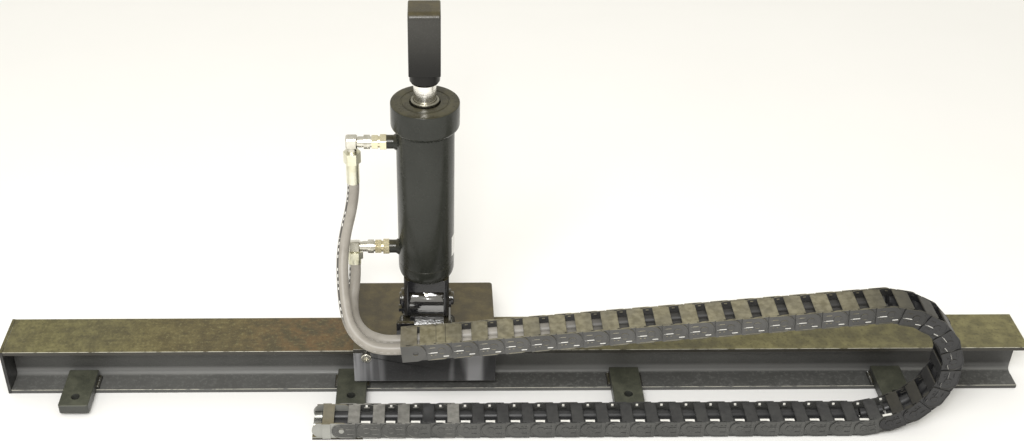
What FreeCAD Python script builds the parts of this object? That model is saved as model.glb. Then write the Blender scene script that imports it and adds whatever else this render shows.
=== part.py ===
"""Rail-mounted double-acting cylinder with a sliding saddle, two hoses and a cable chain.

One connected machine unit: an H-section rail, a saddle that slides on it, a clevis-mounted cylinder
pinned to the saddle, and the two hoses that reach it through a chain lying in front of the rail.
Millimetres. X runs along the rail, Y goes from the chain side to the far side, Z is up.
The origin is on the underside of the rail, straight below the cylinder axis.
"""
import FreeCAD
import Part
import math
import os

V = FreeCAD.Vector

# ---------------------------------------------------------------- rail (103 x 106 wide-flange section)
RAIL_X = (-822.0, 1166.0)
RAIL_H, RAIL_W, FLANGE_T, WEB_T, RAIL_FILLET = 105.7, 103.1, 8.8, 7.1, 8.0
CLIP_X = (-683.0, -148.0, 391.0, 912.0)          # centres of the four hold-down bars
CLIP_W, CLIP_T, CLIP_END_Y, CLIP_HOLE_Y, CLIP_HOLE_R = 58.0, 19.0, -118.0, -92.0, 8.5

# ---------------------------------------------------------------- saddle
SADDLE_X = (-142.0, 133.0)
PLATE_Y = (-62.5, 148.0)
PLATE_Z = (109.0, 118.5)
PAD_Z0 = 106.0                                    # wear pads run 0.3 above the flange
SKIRT_Y, SKIRT_Z0 = (-62.5, -54.5), 37.0
KEEPER_Z = (86.0, 96.5)                           # keepers run 0.4 under the flange
LUG_BLOCK = (46.0, 33.0, 155.0)                   # half length X, half width Y, top Z
EYE_R, EYE_HALF = 37.0, 32.0
PIVOT_Z = 194.0                                   # base pin height
PIN_R, BUSH_R = 12.70, 16.0

# ---------------------------------------------------------------- cylinder
BORE_R, TUBE_R = 40.0, 52.0
EAR_IN, EAR_OUT, EAR_R = 32.6, 42.5, 35.0
NECK_Z = (235.0, 262.0)
CAP_END_Z, TUBE_Z = 262.0, (292.0, 606.0)
PORT_Z = (318.0, 546.0)                           # base port, rod-side port
BOSS_R, BOSS_X = 12.5, -69.0
COLLAR_R, COLLAR_Z = 61.0, (573.0, 583.0, 628.0)  # chamfer foot, chamfer top, top face
ROD_R = 20.0
STROKE = 165.0
PISTON_Z = (326.0, 366.0)
NUT_Z = (300.0, 325.5)
ROD_END_Z = (667.0, 692.0, 808.0)                 # collar foot, block foot, block top
ROD_END_HALF = (27.5, 32.0)
ROD_PIN_Z, ROD_PIN_R = 768.0, 12.7

# ---------------------------------------------------------------- hoses
HOSE_R = 11.0
ELBOW_X = (-134.0, -131.0)                        # lower and upper fitting
LOOP_UPPER = [(-131, 0, 461.5), (-131, 0, 427), (-154.5, -25, 341), (-154, -82, 286.5),
              (-144, -129.5, 238.5), (-120, -153.5, 216)]
LOOP_LOWER = [(-134, -12.512, 287.032), (-134, -22.949, 261.2), (-140, -50, 228), (-135, -89, 210),
              (-112.7, -121.7, 204.4), (-85, -138.7, 205.5)]
ENTRY, ENTRY_RUNS = 24.0, (40.5, 20.5)            # last hinge to loop end, and each loop's last run

# ---------------------------------------------------------------- cable chain
PITCH, HALF_H = 47.0, 18.5
CHAIN_Y = -156.0                                  # middle of the chain's width
Y_IN, Y_MID, Y_OUT = 25.0, 27.0, 29.0             # side plate: inner face, layer joint, outer face
LAYER_GAP = 0.15
HINGE_PIN_R, HINGE_HOLE_R = 5.0, 5.08
CHAIN_Z0 = 20.8                                   # centre height of the run on the floor
CHAIN_H1_X = 825.0                                # first hinge of the bend
LOW_TURN, TOP_TURN, MID_TURN = 14.8, 17.2, 20.27  # hinge angles at rest, degrees
N_LOWER, N_MID, N_UPPER = 21, 6, 18               # links on the floor, middle hinges, upper links
CORE = (20.4, 26.6)
BAR = (12.0, 35.0)                                # inner crossbar, along the link
LID = (8.5, 38.5)                                 # outer lid, along the link

os.makedirs("parts", exist_ok=True)


# ================================================================ helpers
def box(x0, x1, y0, y1, z0, z1):
    return Part.makeBox(x1 - x0, y1 - y0, z1 - z0, V(x0, y0, z0))


def rod(a, b, r):
    """Solid cylinder of radius r from point a to point b."""
    a, b = V(*a), V(*b)
    return Part.makeCylinder(r, (b - a).Length, a, b - a)


def ring(z0, z1, r_in, r_out):
    return rod((0, 0, z0), (0, 0, z1), r_out).cut(rod((0, 0, z0 - 1), (0, 0, z1 + 1), r_in))


def hexagon(a, b, across):
    """Hexagonal prism from a to b with the given size across flats."""
    a, b = V(*a), V(*b)
    d = (b - a).normalize() if (b - a).Length else V(0, 0, 1)
    side = V(0, 1, 0) if abs(d.y) < 0.9 else V(1, 0, 0)
    u = d.cross(side).normalize()
    w = d.cross(u).normalize()
    r = across / math.sqrt(3.0)
    pts = [a + u * (r * math.cos(math.radians(60 * k))) + w * (r * math.sin(math.radians(60 * k)))
           for k in range(6)]
    face = Part.Face(Part.makePolygon(pts + [pts[0]]))
    body = face.extrude(b - a)
    ball = Part.makeCylinder(r * 0.985, (b - a).Length, a, b - a)
    return body.common(ball)


def revolve(points):
    """Turn a closed (r, z) outline about the Z axis."""
    pts = [V(r, 0, z) for r, z in points]
    return Part.Face(Part.makePolygon(pts + [pts[0]])).revolve(V(0, 0, 0), V(0, 0, 1), 360)


def fuse(shapes):
    out = shapes[0]
    for s in shapes[1:]:
        out = out.fuse(s)
    return out.removeSplitter()


def soften(shape, radius, test):
    """Round the edges for which test(edge) is true."""
    return shape.makeFillet(radius, [e for e in shape.Edges if test(e)])


def along(edge, axis):
    a, b = edge.Vertexes[0].Point, edge.Vertexes[-1].Point
    d = b - a
    return d.Length > 1e-6 and abs(abs(d.normalize().dot(axis)) - 1) < 1e-6


X_AX, Y_AX, Z_AX = V(1, 0, 0), V(0, 1, 0), V(0, 0, 1)


def centreline(points):
    """Wire of straight runs joined by tangent arcs; the arc radius is 0.45 of the shorter run."""
    pts = [V(*p) for p in points]
    edges, start, radii = [], pts[0], []
    for i in range(1, len(pts) - 1):
        a, b = (pts[i - 1] - pts[i]), (pts[i + 1] - pts[i])
        la, lb = a.Length, b.Length
        a.normalize()
        b.normalize()
        turn = math.pi - a.getAngle(b)
        if turn < math.radians(0.5):
            continue
        cut = 0.45 * min(la, lb)
        r = cut / math.tan(turn / 2)
        radii.append(r)
        p0, p1 = pts[i] + a * cut, pts[i] + b * cut
        centre = pts[i] + (a + b).normalize() * (r / math.cos(turn / 2))
        mid = centre + (pts[i] - centre).normalize() * r
        edges.append(Part.makeLine(start, p0))
        edges.append(Part.Arc(p0, mid, p1).toShape())
        start = p1
    edges.append(Part.makeLine(start, pts[-1]))
    return Part.Wire(edges), radii


def hose(points, r=HOSE_R):
    wire, radii = centreline(points)
    a, b = V(*points[0]), V(*points[1])
    profile = Part.Wire([Part.makeCircle(r, a, b - a)])
    solid = wire.makePipeShell([profile], True, False)
    if radii:
        print("hose length %.0f, smallest bend radius %.0f" % (wire.Length, min(radii)))
    expected = math.pi * r * r * wire.Length
    assert abs(abs(solid.Volume) / expected - 1) < 0.02
    return solid


def export(name, shapes):
    shapes = shapes if isinstance(shapes, list) else [shapes]
    shape = shapes[0] if len(shapes) == 1 else Part.makeCompound(shapes)
    assert shape.isValid(), name
    shape.exportStep("parts/%s.step" % name)
    print(name, len(shape.Solids), round(shape.Volume / 1000.0, 1), "cm3")


# ================================================================ rail and clips
def rail_beam():
    x0, x1 = RAIL_X
    half = RAIL_W / 2
    beam = fuse([box(x0, x1, -half, half, 0, FLANGE_T),
                 box(x0, x1, -half, half, RAIL_H - FLANGE_T, RAIL_H),
                 box(x0, x1, -WEB_T / 2, WEB_T / 2, FLANGE_T, RAIL_H - FLANGE_T)])
    return soften(beam, RAIL_FILLET, lambda e: along(e, X_AX)
                  and abs(abs(e.Vertexes[0].Point.y) - WEB_T / 2) < 0.01)


def rail_clips():
    out = []
    for x in CLIP_X:
        bar = box(x - CLIP_W / 2, x + CLIP_W / 2, CLIP_END_Y, -14.0, FLANGE_T, FLANGE_T + CLIP_T)
        bar = soften(bar, 5.0, lambda e: along(e, Z_AX) and e.Vertexes[0].Point.y < -100)
        bar = bar.makeChamfer(1.2, [e for e in bar.Edges if e.BoundBox.ZMin > FLANGE_T + CLIP_T - 0.1
                                    and e.BoundBox.YMin < -20])
        out.append(bar.cut(rod((x, CLIP_HOLE_Y, 0), (x, CLIP_HOLE_Y, 60), CLIP_HOLE_R)))
    return out


def clip_welds():
    """Fillet beads between each bar's two sides and the lower flange."""
    out = []
    for x in CLIP_X:
        for s in (-1, 1):
            e = x + s * CLIP_W / 2
            tri = Part.makePolygon([V(e, -50, FLANGE_T), V(e + s * 7, -50, FLANGE_T),
                                    V(e, -50, FLANGE_T + 7), V(e, -50, FLANGE_T)])
            out.append(Part.Face(tri).extrude(V(0, 35, 0)))
    return out


export("rail_beam", rail_beam())
export("rail_end_plate", box(RAIL_X[0] - 6.0, RAIL_X[0], -RAIL_W / 2, RAIL_W / 2, 0.5, RAIL_H))
export("rail_clips", rail_clips())
export("rail_clip_welds", clip_welds())

# ================================================================ saddle
sx0, sx1 = SADDLE_X
plate = box(sx0, sx1, PLATE_Y[0], PLATE_Y[1], *PLATE_Z)
plate = soften(plate, 6.0, lambda e: along(e, Z_AX) and e.Vertexes[0].Point.y > 0)
plate = plate.makeChamfer(1.0, [e for e in plate.Edges if e.BoundBox.ZMin > PLATE_Z[1] - 0.01])
export("saddle_plate", plate)

CLAMP_X, CLAMP_Z = -117.0, 101.0
skirt = box(sx0, sx1, SKIRT_Y[0], SKIRT_Y[1], SKIRT_Z0, PLATE_Z[0])
skirt = skirt.makeChamfer(1.0, [e for e in skirt.Edges if e.BoundBox.YMax < SKIRT_Y[0] + 0.01
                                and e.BoundBox.ZMax < PLATE_Z[0] - 1])
skirt = skirt.cut(rod((CLAMP_X, -70, CLAMP_Z), (CLAMP_X, -50, CLAMP_Z), 5.02))
export("saddle_front_skirt", skirt)

clamp = fuse([rod((CLAMP_X, -69.5, CLAMP_Z), (CLAMP_X, -62.5, CLAMP_Z), 10.0),
              rod((CLAMP_X, -62.5, CLAMP_Z), (CLAMP_X, -54.6, CLAMP_Z), 5.0),
              rod((CLAMP_X, -54.6, CLAMP_Z), (CLAMP_X, -52.1, CLAMP_Z), 3.9)])
clamp = clamp.cut(hexagon((CLAMP_X, -70, CLAMP_Z), (CLAMP_X, -65, CLAMP_Z), 8.0))
clamp = soften(clamp, 1.5, lambda e: e.BoundBox.YMax < -69.4 and e.BoundBox.XLength > 19)
export("clamp_screw", clamp)

GUIDE_Y = (54.5, 66.5)
KEEPER_SCREW_X = (-105.0, 0.0, 100.0)
keeper_z = sum(KEEPER_Z) / 2
screw_holes = [rod((x, 40, keeper_z), (x, 70, keeper_z), 4.02) for x in KEEPER_SCREW_X]
guide = box(sx0, sx1, GUIDE_Y[0], GUIDE_Y[1], 60.0, PLATE_Z[0])
keepers = [box(sx0 + 4, sx1 - 4, -54.5, -18.0, *KEEPER_Z), box(sx0 + 4, sx1 - 4, 18.0, 54.5, *KEEPER_Z)]
for h in screw_holes:
    guide = guide.cut(h)
    keepers[1] = keepers[1].cut(h)
export("saddle_back_guide", guide)
export("saddle_keepers", keepers)
export("keeper_screws", [fuse([hexagon((x, 66.5, keeper_z), (x, 71.8, keeper_z), 13.0),
                               rod((x, 42, keeper_z), (x, 66.5, keeper_z), 4.0)])
                         for x in KEEPER_SCREW_X])
export("saddle_wear_pads", [box(sx0 + 6, sx1 - 6, a, b, PAD_Z0, PLATE_Z[0])
                            for a, b in ((-50.0, -12.0), (12.0, 50.0))])

bx, by, bz = LUG_BLOCK
block = soften(box(-bx, bx, -by, by, PLATE_Z[1], bz), 4.0, lambda e: along(e, Z_AX))
lug = fuse([block, rod((-EYE_HALF, 0, PIVOT_Z), (EYE_HALF, 0, PIVOT_Z), EYE_R),
            box(-EYE_HALF, EYE_HALF, -26, 26, bz - 3, PIVOT_Z - 12)])
NIPPLE_DIR = V(0, -math.cos(math.radians(48)), math.sin(math.radians(48)))
pivot = V(0, 0, PIVOT_Z)
lug = lug.cut(rod((-60, 0, PIVOT_Z), (60, 0, PIVOT_Z), BUSH_R))
lug = lug.cut(Part.makeCylinder(3.0, 30, pivot + NIPPLE_DIR * 12, NIPPLE_DIR))
export("saddle_lug", lug)
outer = Part.makeLoft([Part.makePolygon([V(sx * (bx + g), sy * (by + g), z) for sx, sy in
                                         ((-1, -1), (1, -1), (1, 1), (-1, 1), (-1, -1))])
                       for g, z in ((7.0, PLATE_Z[1]), (0.05, PLATE_Z[1] + 7))], True, True)
export("lug_weld", outer.cut(box(-bx, bx, -by, by, 100, 200)))
bush = rod((-EYE_HALF, 0, PIVOT_Z), (EYE_HALF, 0, PIVOT_Z), BUSH_R).cut(
    rod((-60, 0, PIVOT_Z), (60, 0, PIVOT_Z), PIN_R + 0.06))
bush = bush.cut(Part.makeCylinder(2.0, 8, pivot + NIPPLE_DIR * 11, NIPPLE_DIR))
export("pivot_bush", bush)
nipple = fuse([Part.makeCylinder(2.95, 9.0, pivot + NIPPLE_DIR * (EYE_R - 7), NIPPLE_DIR),
               Part.makeCylinder(4.2, 1.8, pivot + NIPPLE_DIR * (EYE_R + 0.02), NIPPLE_DIR),
               Part.makeCone(2.4, 1.8, 1.6, pivot + NIPPLE_DIR * (EYE_R + 1.7), NIPPLE_DIR)])
export("grease_nipple", nipple)

# ================================================================ base of the cylinder
ears = rod((-EAR_OUT, 0, PIVOT_Z), (EAR_OUT, 0, PIVOT_Z), EAR_R).fuse(
    box(-EAR_OUT, EAR_OUT, -EAR_R, EAR_R, PIVOT_Z, NECK_Z[1]))
ears = ears.common(rod((0, 0, 120), (0, 0, NECK_Z[1]), 49.5))
ears = ears.cut(box(-EAR_IN, EAR_IN, -60, 60, 100, NECK_Z[0]))
ears = ears.cut(rod((-60, 0, PIVOT_Z), (60, 0, PIVOT_Z), PIN_R + 0.04))
KEEP_Z = PIVOT_Z - 24.0
ears = ears.cut(rod((-60, 0, KEEP_Z), (-34, 0, KEEP_Z), 4.02))
export("base_clevis", ears.removeSplitter())
pin = rod((-52, 0, PIVOT_Z), (52, 0, PIVOT_Z), PIN_R)
export("pivot_pin", pin.makeChamfer(1.5, [e for e in pin.Edges if e.BoundBox.XLength < 0.1]))
keeper = rod((-EAR_OUT - 6, 0, PIVOT_Z), (-EAR_OUT, 0, PIVOT_Z), 20.0).fuse(
    rod((-EAR_OUT - 6, 0, KEEP_Z), (-EAR_OUT, 0, KEEP_Z), 11.0)).fuse(
    box(-EAR_OUT - 6, -EAR_OUT, -11, 11, KEEP_Z, PIVOT_Z))
keeper = keeper.cut(rod((-60, 0, PIVOT_Z), (-40, 0, PIVOT_Z), PIN_R + 0.04)).cut(
    rod((-60, 0, KEEP_Z), (-40, 0, KEEP_Z), 4.1))
export("pin_keeper_plate", keeper.removeSplitter())
export("pin_keeper_screw", fuse([hexagon((-EAR_OUT - 11.5, 0, KEEP_Z), (-EAR_OUT - 6, 0, KEEP_Z), 13.0),
                                 rod((-EAR_OUT - 6, 0, KEEP_Z), (-36, 0, KEEP_Z), 4.0)]))
export("pin_retaining_ring", rod((EAR_OUT + 0.3, 0, PIVOT_Z), (EAR_OUT + 4.3, 0, PIVOT_Z), 18.0).cut(
    rod((40, 0, PIVOT_Z), (60, 0, PIVOT_Z), PIN_R + 0.04)))

arc = [(TUBE_R - 8.0 + 8.0 * math.sin(math.radians(a)),
        CAP_END_Z + 17.0 * (1 - math.cos(math.radians(a)))) for a in range(0, 91, 10)]
export("end_cap", revolve([(0, CAP_END_Z)] + arc + [(TUBE_R, TUBE_Z[0]), (39.95, TUBE_Z[0]),
                                                    (39.95, 296.0), (0, 296.0)]))
tube = ring(TUBE_Z[0], TUBE_Z[1], BORE_R, TUBE_R)
for z in PORT_Z:
    tube = tube.cut(rod((-60, 0, z), (-30, 0, z), 6.0))
export("barrel_tube", tube)

bosses = []
for z in PORT_Z:
    b = rod((-40, 0, z), (BOSS_X, 0, z), BOSS_R).fuse(
        Part.makeCone(17.5, BOSS_R, 8.0, V(3.5 - TUBE_R, 0, z), V(-1, 0, 0)))
    b = b.cut(rod((0, 0, z - 40), (0, 0, z + 40), TUBE_R + 0.02))
    bosses.append(b.cut(rod((-90, 0, z), (-30, 0, z), 6.5)).removeSplitter())
export("port_bosses", bosses)

# ================================================================ gland end
cz = COLLAR_Z
export("gland_cap", revolve([(TUBE_R + 0.05, cz[0]), (COLLAR_R, cz[1]), (COLLAR_R, cz[2] - 2.5),
                             (COLLAR_R - 2.5, cz[2]), (44.0, cz[2]), (43.0, cz[2] - 1.2),
                             (41.0, cz[2] - 1.2), (40.0, cz[2]), (26.6, cz[2]), (26.6, 612.1),
                             (TUBE_R + 0.05, 612.1)]))
export("gland_head", revolve([(ROD_R + 0.06, 556), (39.9, 556), (39.9, 570), (36.6, 570), (36.6, 575.5),
                              (39.9, 575.5), (39.9, 606.05), (TUBE_R, 606.05), (TUBE_R, 612),
                              (26.4, 612), (26.4, 616), (ROD_R + 0.06, 616), (ROD_R + 0.06, 592),
                              (26.0, 592), (26.0, 583), (ROD_R + 0.06, 583)]))
o_ring = Part.makeTorus(38.25, 1.6, V(0, 0, 572.75), V(0, 0, 1))
export("gland_o_ring", o_ring)
export("rod_seal", ring(583.1, 591.9, ROD_R + 0.03, 25.9))
export("rod_wiper", revolve([(ROD_R + 0.03, 616.1), (25.0, 616.1), (25.0, 631.5), (23.5, 633),
                             (ROD_R + 1.2, 633), (ROD_R + 0.03, 630)]))

label = ring(310, 352, TUBE_R + 0.02, TUBE_R + 0.32)
wedge = Part.Face(Part.makePolygon([V(0, 0, 305), V(70, -32, 305), V(70, 30, 305), V(0, 0, 305)]))
export("blank_label", label.common(wedge.extrude(V(0, 0, 60))))

# ================================================================ rod, piston and rod end
pr_r = 13.0
export("piston_rod", fuse([rod((0, 0, PISTON_Z[1]), (0, 0, ROD_END_Z[0] + 12), ROD_R),
                           rod((0, 0, 298), (0, 0, PISTON_Z[1]), pr_r)]))
export("piston", revolve([(pr_r + 0.03, PISTON_Z[0]), (39.6, PISTON_Z[0]), (39.6, 329), (37.5, 329), (37.5, 337),
                          (39.6, 337), (39.6, 341.5), (35.0, 341.5), (35.0, 350.5), (39.6, 350.5),
                          (39.6, 355), (37.5, 355), (37.5, 363), (39.6, 363), (39.6, PISTON_Z[1]),
                          (pr_r + 0.03, PISTON_Z[1])]))
export("piston_seal", ring(341.6, 350.4, 35.1, 39.96))
export("piston_wear_rings", [ring(329.1, 336.9, 37.55, 39.94), ring(355.1, 362.9, 37.55, 39.94)])
export("piston_nut", hexagon((0, 0, NUT_Z[0]), (0, 0, PISTON_Z[0]), 41.0).cut(
    rod((0, 0, 290), (0, 0, 330), pr_r + 0.03)))

hx, hy = ROD_END_HALF
head = box(-hx, hx, -hy, hy, ROD_END_Z[1], ROD_END_Z[2])
head = soften(head, 12.0, lambda e: along(e, X_AX) and e.Vertexes[0].Point.z > 780)
head = soften(head, 3.0, lambda e: e.BoundBox.ZMax > ROD_END_Z[1] + 1)
collar = Part.makeCone(24.0, 26.5, 4.0, V(0, 0, ROD_END_Z[0]), V(0, 0, 1)).fuse(
    rod((0, 0, ROD_END_Z[0] + 4), (0, 0, ROD_END_Z[1] + 2), 26.5))
head = head.fuse(collar).removeSplitter()
head = head.cut(rod((0, 0, 660), (0, 0, ROD_END_Z[0] + 12.1), ROD_R + 0.03))
export("rod_end", head.cut(rod((-40, 0, ROD_PIN_Z), (40, 0, ROD_PIN_Z), 16.0)))
export("rod_end_bush", rod((-hx, 0, ROD_PIN_Z), (hx, 0, ROD_PIN_Z), 16.0).cut(
    rod((-40, 0, ROD_PIN_Z), (40, 0, ROD_PIN_Z), ROD_PIN_R + 0.06)))

# ================================================================ hose fittings
adapters, swivels, elbows, nuts, ferrules = [], [], [], [], []
for z, tilt, elbow_x in ((PORT_Z[1], 0.0, ELBOW_X[1]), (PORT_Z[0], 22.0, ELBOW_X[0])):
    adapters.append(fuse([hexagon((BOSS_X - 11, 0, z), (BOSS_X, 0, z), 27.0),
                          rod((BOSS_X - 15, 0, z), (BOSS_X - 11, 0, z), 10.5),
                          hexagon((BOSS_X - 26, 0, z), (BOSS_X - 15, 0, z), 24.0),
                          rod((BOSS_X, 0, z), (BOSS_X + 12, 0, z), 6.45)]).cut(
        rod((-110, 0, z), (-40, 0, z), 4.0)))
    sw = fuse([rod((BOSS_X - 50, 0, z), (BOSS_X - 26, 0, z), 10.0),
               rod((BOSS_X - 40, 0, z), (BOSS_X - 29, 0, z), 12.8)])
    swivels.append(sw.cut(rod((-125, 0, z), (-90, 0, z), 4.0)))
    d = V(0, -math.sin(math.radians(tilt)), -math.cos(math.radians(tilt)))
    c = V(elbow_x, 0, z)

    def at(s, base=c, way=d):
        q = base + way * s
        return (q.x, q.y, q.z)
    corner = box(elbow_x - 10.5, elbow_x + 10.5, -10.5, 10.5, z - 10.5, z + 10.5)
    corner = corner.makeChamfer(2.4, corner.Edges)
    corner.rotate(c, V(1, 0, 0), -tilt)
    body = fuse([rod((BOSS_X - 50, 0, z), (elbow_x, 0, z), 9.0), corner, rod(at(0), at(20), 9.0)])
    body = body.cut(rod((BOSS_X - 51, 0, z), (elbow_x, 0, z), 4.0)).cut(rod(at(-1), at(21), 4.0))
    elbows.append(body.cut(box(BOSS_X - 50, -90, -30, 30, z - 30, z + 30)))
    n1, f1 = (42.0, 84.5) if tilt == 0 else (23.5, 33.4)
    n0 = 20.0 if tilt == 0 else 11.0
    if tilt:
        elbows[-1] = elbows[-1].cut(rod(at(n0), at(24), 14.0))
    nuts.append(hexagon(at(n0), at(n1), 27.5).cut(rod(at(n0 - 1), at(n1 + 1), 5.0)))
    fer = rod(at(n1), at(f1), 11.8)
    ferrules.append(fer.cut(rod(at(n1 - 1), at(f1 + 1), 5.0)))
    print("hose leaves fitting at", at(f1), "direction", d)
export("port_adapters", adapters)
export("swivel_collars", swivels)
export("hose_elbows", elbows)
export("hose_nuts", nuts)
export("hose_ferrules", ferrules)


# ================================================================ cable chain
def link():
    """One link along +u with its hinge at u = 0 and the next hinge at u = PITCH; outside is -w."""
    sides = []
    for s in (-1, 1):
        def slab(u0, u1, va, vb, s=s):
            lo, hi = sorted((s * va, s * vb))
            return box(u0, u1, lo, hi, -HALF_H, HALF_H)

        def disc(u, va, vb, r, s=s):
            return rod((u, s * va, 0), (u, s * vb, 0), r)
        outer_lobe = disc(0, Y_MID + LAYER_GAP, Y_OUT, HALF_H).fuse(
            slab(0, CORE[1], Y_MID + LAYER_GAP, Y_OUT))
        outer_lobe = outer_lobe.cut(disc(0, Y_MID - 1, Y_OUT + 1, HINGE_HOLE_R))
        inner_lobe = disc(PITCH, Y_IN, Y_MID - LAYER_GAP, HALF_H).fuse(
            slab(CORE[0], PITCH, Y_IN, Y_MID - LAYER_GAP))
        pin = disc(PITCH, Y_MID - 0.5, Y_OUT - 0.2, HINGE_PIN_R)
        sides += [outer_lobe, inner_lobe, slab(CORE[0], CORE[1], Y_IN, Y_OUT), pin]
    bar = box(BAR[0], BAR[1], -Y_IN, Y_IN, HALF_H - 3.0, HALF_H)
    web = [box(CORE[0], CORE[1], s * Y_IN - 0.5, s * Y_IN + 0.5, -HALF_H + 3.6, HALF_H)
           for s in (-1, 1)]
    return fuse(sides + web + [bar])


def lid():
    """Snap-on outer lid of a link, with a hinge edge and a finger notch."""
    top = box(LID[0], LID[1], -Y_IN + 0.02, Y_IN - 0.02, -HALF_H, -HALF_H + 3.0)
    notch = box(LID[0] + 12, LID[1] - 12, Y_IN - 4, Y_IN + 1, -HALF_H - 1, -HALF_H + 1.2)
    return top.cut(notch)


LINK, LIDPIECE = link(), lid()


def place(shape, x, z, angle):
    """Copy a link so that its hinge sits at (x, z) and it points at the given angle in the XZ plane."""
    c = shape.copy()
    c.Placement = FreeCAD.Placement(V(x, CHAIN_Y, z), FreeCAD.Rotation(V(0, 1, 0), -angle))
    return c


def step_on(x, z, angle, n=1):
    a = math.radians(angle)
    return x + n * PITCH * math.cos(a), z + n * PITCH * math.sin(a)


# lower run, links laid end to end up to the first hinge of the bend
start_x = CHAIN_H1_X - N_LOWER * PITCH
lower = [(start_x + k * PITCH, CHAIN_Z0, 0.0) for k in range(N_LOWER)]
# the bend: a first link, seven held at a fixed curve, a last link, then the straight upper run
angles, a = [], 0.0
for turn in [LOW_TURN, LOW_TURN] + [MID_TURN] * N_MID + [TOP_TURN]:
    a += turn
    angles.append(a)
curve, x, z = [], CHAIN_H1_X, CHAIN_Z0
for a in angles:
    curve.append((x, z, a))
    x, z = step_on(x, z, a)
UP_A = angles[-1] + TOP_TURN
upper = []
for k in range(N_UPPER):
    upper.append((x, z, UP_A))
    x, z = step_on(x, z, UP_A)
END_X, END_Z = x, z
print("hinges", [(round(c[0], 3), round(c[1], 3)) for c in (curve[0], curve[1], curve[-1], upper[0])],
      "end", round(END_X, 3), round(END_Z, 3), "slope", UP_A)
groups = {"chain_lower": lower, "chain_link_a": curve[:1], "chain_bend": curve[1:-1],
          "chain_link_b": curve[-1:], "chain_upper": upper}
for name, places in groups.items():
    links = [place(LINK, *p) for p in places]
    lids = [place(LIDPIECE, *p) for p in places]
    if len(places) == 1:
        export(name, links + lids)
    else:
        export(name + "_links", links)
        export(name + "_lids", lids)

# hose stretches carried inside each group, two side by side, cut back 3 mm at the moving hinges
HOSE_Y = (CHAIN_Y - 11.5, CHAIN_Y + 11.5)


def stretch(name, points, trim_start, trim_end):
    pts = [V(p[0], 0, p[1]) for p in points]
    d0, d1 = (pts[1] - pts[0]).normalize(), (pts[-2] - pts[-1]).normalize()
    pts[0], pts[-1] = pts[0] + d0 * trim_start, pts[-1] + d1 * trim_end
    export(name, [hose([(p.x, y, p.z) for p in pts]) for y in HOSE_Y])


TAIL_X = start_x - 38.0
last = step_on(*curve[-1])
stretch("chain_lower_hoses", [(TAIL_X, CHAIN_Z0), (CHAIN_H1_X, CHAIN_Z0)], 0.0, 3.0)
stretch("chain_link_a_hoses", [curve[0][:2], curve[1][:2]], 3.0, 3.0)
stretch("chain_bend_hoses", [c[:2] for c in curve[1:]], 3.0, 3.0)
stretch("chain_link_b_hoses", [curve[-1][:2], last], 3.0, 3.0)
stretch("chain_upper_hoses", [last, (END_X, END_Z)], 3.0, -ENTRY)

# ---------------------------------------------------------------- free loops, fitting to chain mouth
ca, sa = math.cos(math.radians(UP_A)), math.sin(math.radians(UP_A))
for name, route, y, run in (("hose_loop_upper", LOOP_UPPER, HOSE_Y[0], ENTRY_RUNS[0]),
                            ("hose_loop_lower", LOOP_LOWER, HOSE_Y[1], ENTRY_RUNS[1])):
    mouth = [(END_X + s * ca, y, END_Z + s * sa) for s in (ENTRY + run, ENTRY)]
    export(name, hose(route + mouth))

# ---------------------------------------------------------------- fixed end on the floor
# a pad under the bracket with two straps clamped under the second hold-down bar, one each side of its bolt
hold = CLIP_X[1]
export("chain_anchor_strap", [box(start_x - 56, hold + 26, -185.0, -127.0, 0, 2.0)] + [
    box(hold + x0, hold + x1, -127.0, -RAIL_W / 2 - 0.02, 0, 2.0) for x0, x1 in ((-26.0, -11.5), (11.5, 26.0))])
fx0, fx1 = start_x - 56.0, start_x - 36.6
fixed = [box(fx0, start_x + 5, CHAIN_Y - 27, CHAIN_Y + 27, 2.0, 5.0)]
for s in (-1, 1):
    lo, hi = sorted((CHAIN_Y + s * 24.7, CHAIN_Y + s * (Y_MID - LAYER_GAP)))
    cheek = box(fx0 + 8, start_x, lo, hi, 2.3, CHAIN_Z0 + HALF_H)
    tip = rod((fx0 + 17, lo, CHAIN_Z0), (fx0 + 17, hi, CHAIN_Z0), 17.0)
    end = rod((start_x, lo, CHAIN_Z0), (start_x, hi, CHAIN_Z0), HALF_H)
    lo2, hi2 = sorted((CHAIN_Y + s * (Y_MID - LAYER_GAP), CHAIN_Y + s * Y_OUT))
    skin = box(fx1, start_x - 20.6, lo2, hi2, 2.3, CHAIN_Z0 + HALF_H)
    pin = rod((start_x, CHAIN_Y + s * (Y_MID - 0.5), CHAIN_Z0),
              (start_x, CHAIN_Y + s * (Y_OUT - 0.2), CHAIN_Z0), HINGE_PIN_R)
    fixed += [cheek, tip, end, skin, pin]
fixed.append(box(fx1 + 1, start_x - 14.0, CHAIN_Y - Y_IN, CHAIN_Y + Y_IN, CHAIN_Z0 + HALF_H - 3.0,
                 CHAIN_Z0 + HALF_H))
export("chain_fixed_bracket", fuse(fixed))
export("hose_tail_ends", [rod((TAIL_X - 14, y, CHAIN_Z0), (TAIL_X, y, CHAIN_Z0), 11.3).cut(
    rod((TAIL_X - 15, y, CHAIN_Z0), (TAIL_X - 4, y, CHAIN_Z0), 7.0)) for y in HOSE_Y])

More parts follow.
